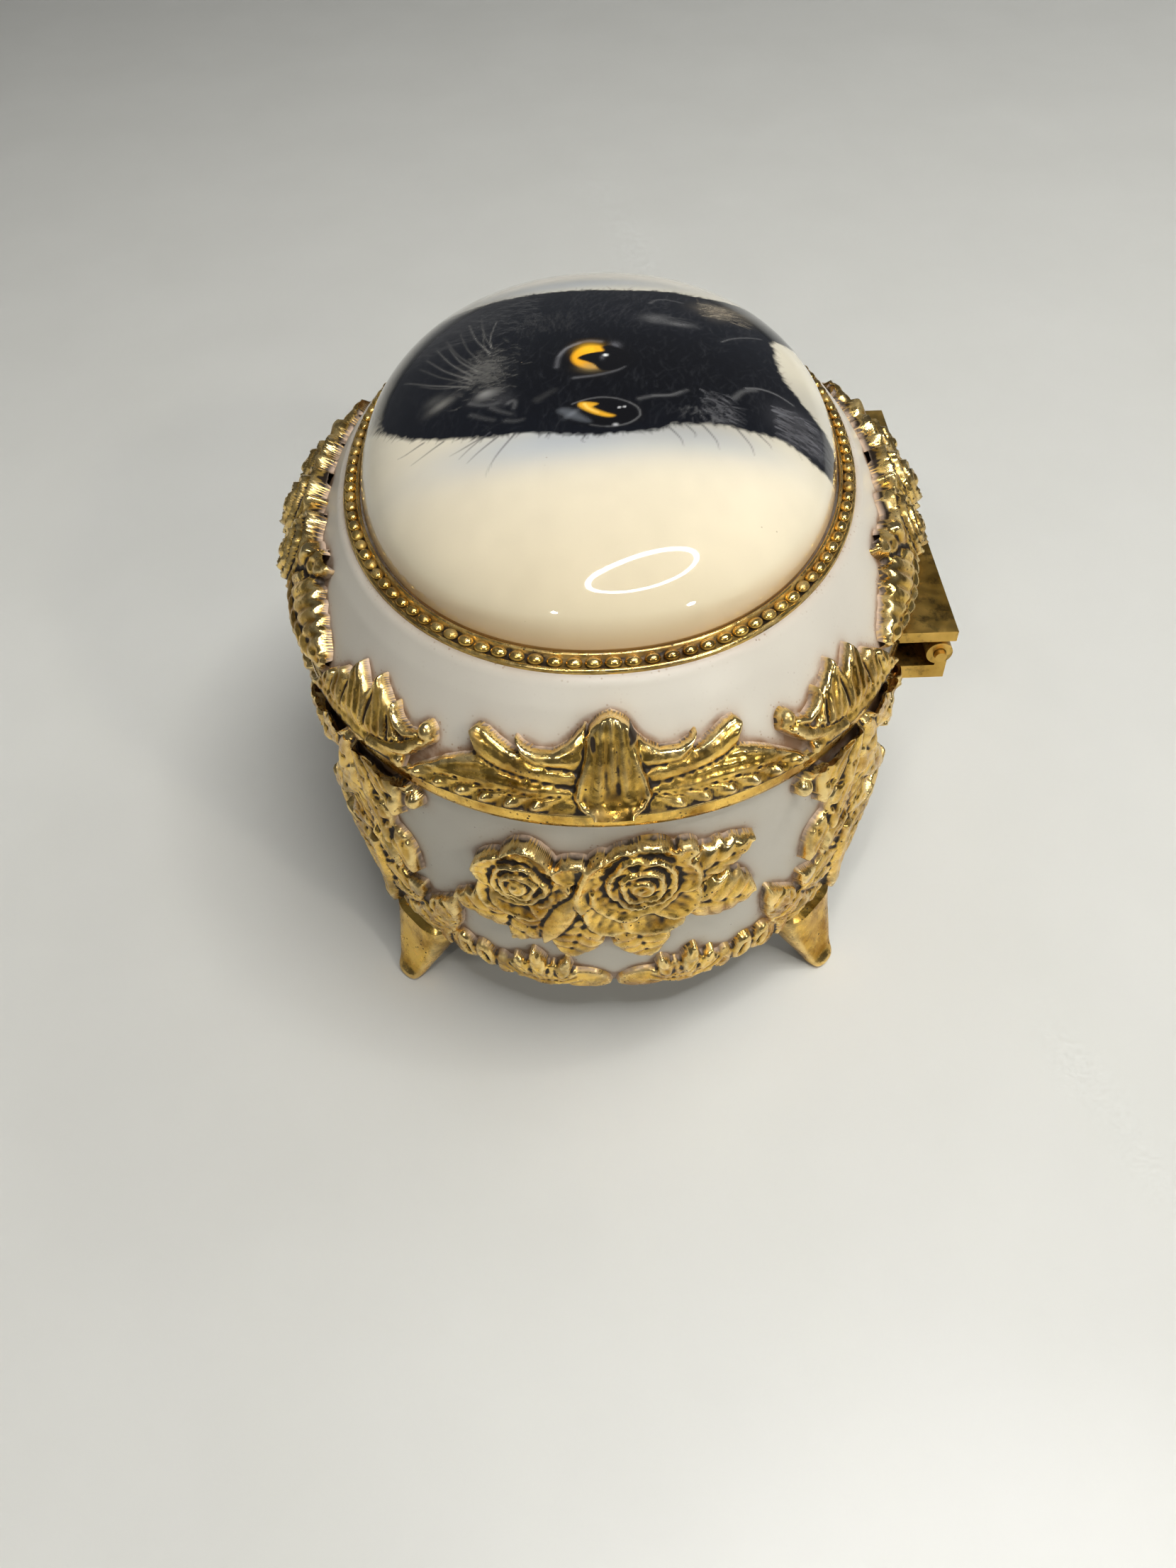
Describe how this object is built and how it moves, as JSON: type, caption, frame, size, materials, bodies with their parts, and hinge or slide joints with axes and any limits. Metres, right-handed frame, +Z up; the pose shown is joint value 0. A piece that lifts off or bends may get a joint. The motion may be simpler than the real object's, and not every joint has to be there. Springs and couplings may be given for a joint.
{
  "type": "trinket box",
  "caption": "Oval footed trinket box in gilt and white enamelled metal, lined, with a hinged lid that carries a domed porcelain oval painted with a cat.",
  "frame": {"origin": "centre of the footprint, on the surface the feet stand on", "axes": "+Z up, +X along the long side of the oval, -Y towards the front with the thumb-lift, +Y towards the hinge"},
  "size_m": [0.1078, 0.0875, 0.0733],
  "materials": {
    "antique_gilt": "antique gold plate over cast metal, dark in the hollows",
    "white_enamel": "satin off-white enamel over cast metal",
    "cream_porcelain": "glossy cream glaze over a printed and painted portrait",
    "hinge_brass": "dull worn gilt brass",
    "zinc_plated_steel": "plain plated sheet",
    "red_velvet": "short pile velvet"
  },
  "bodies": {
    "base": {"apron_border_front": "antique_gilt", "apron_border_left": "antique_gilt", "apron_border_rear": "antique_gilt", "apron_border_right": "antique_gilt", "base_hinge_leaf": "hinge_brass", "body_casting": "white_enamel", "bottom_plate": "zinc_plated_steel", "corner_acanthus_front_left": "antique_gilt", "corner_acanthus_front_right": "antique_gilt", "corner_acanthus_rear_left": "antique_gilt", "corner_acanthus_rear_right": "antique_gilt", "floor_pad": "red_velvet", "foot_front_left": "antique_gilt", "foot_front_right": "antique_gilt", "foot_rear_left": "antique_gilt", "foot_rear_right": "antique_gilt", "foot_screw_front_left": "zinc_plated_steel", "foot_screw_front_right": "zinc_plated_steel", "foot_screw_rear_left": "zinc_plated_steel", "foot_screw_rear_right": "zinc_plated_steel", "hinge_pin": "hinge_brass", "rose_spray_front": "antique_gilt", "rose_spray_left": "antique_gilt", "rose_spray_rear": "antique_gilt", "rose_spray_right": "antique_gilt", "wall_lining": "red_velvet"},
    "lid": {"beaded_bezel": "antique_gilt", "dome_backing_plate": "zinc_plated_steel", "hinge_roses": "antique_gilt", "lid_acanthus_front_left": "antique_gilt", "lid_acanthus_front_right": "antique_gilt", "lid_acanthus_rear_left": "antique_gilt", "lid_acanthus_rear_right": "antique_gilt", "lid_casting": "white_enamel", "lid_hinge_leaf": "hinge_brass", "lid_pad": "red_velvet", "porcelain_dome": "cream_porcelain", "side_cartouche_left": "antique_gilt", "side_cartouche_right": "antique_gilt", "thumb_roses": "antique_gilt"}
  },
  "joints": [
    {"name": "lid_hinge", "type": "hinge", "parent": "base", "child": "lid", "pos_m": [0, 0.0412, 0.0447], "axis": [-1, 0, 0], "range_deg": [0, 100]}
  ]
}
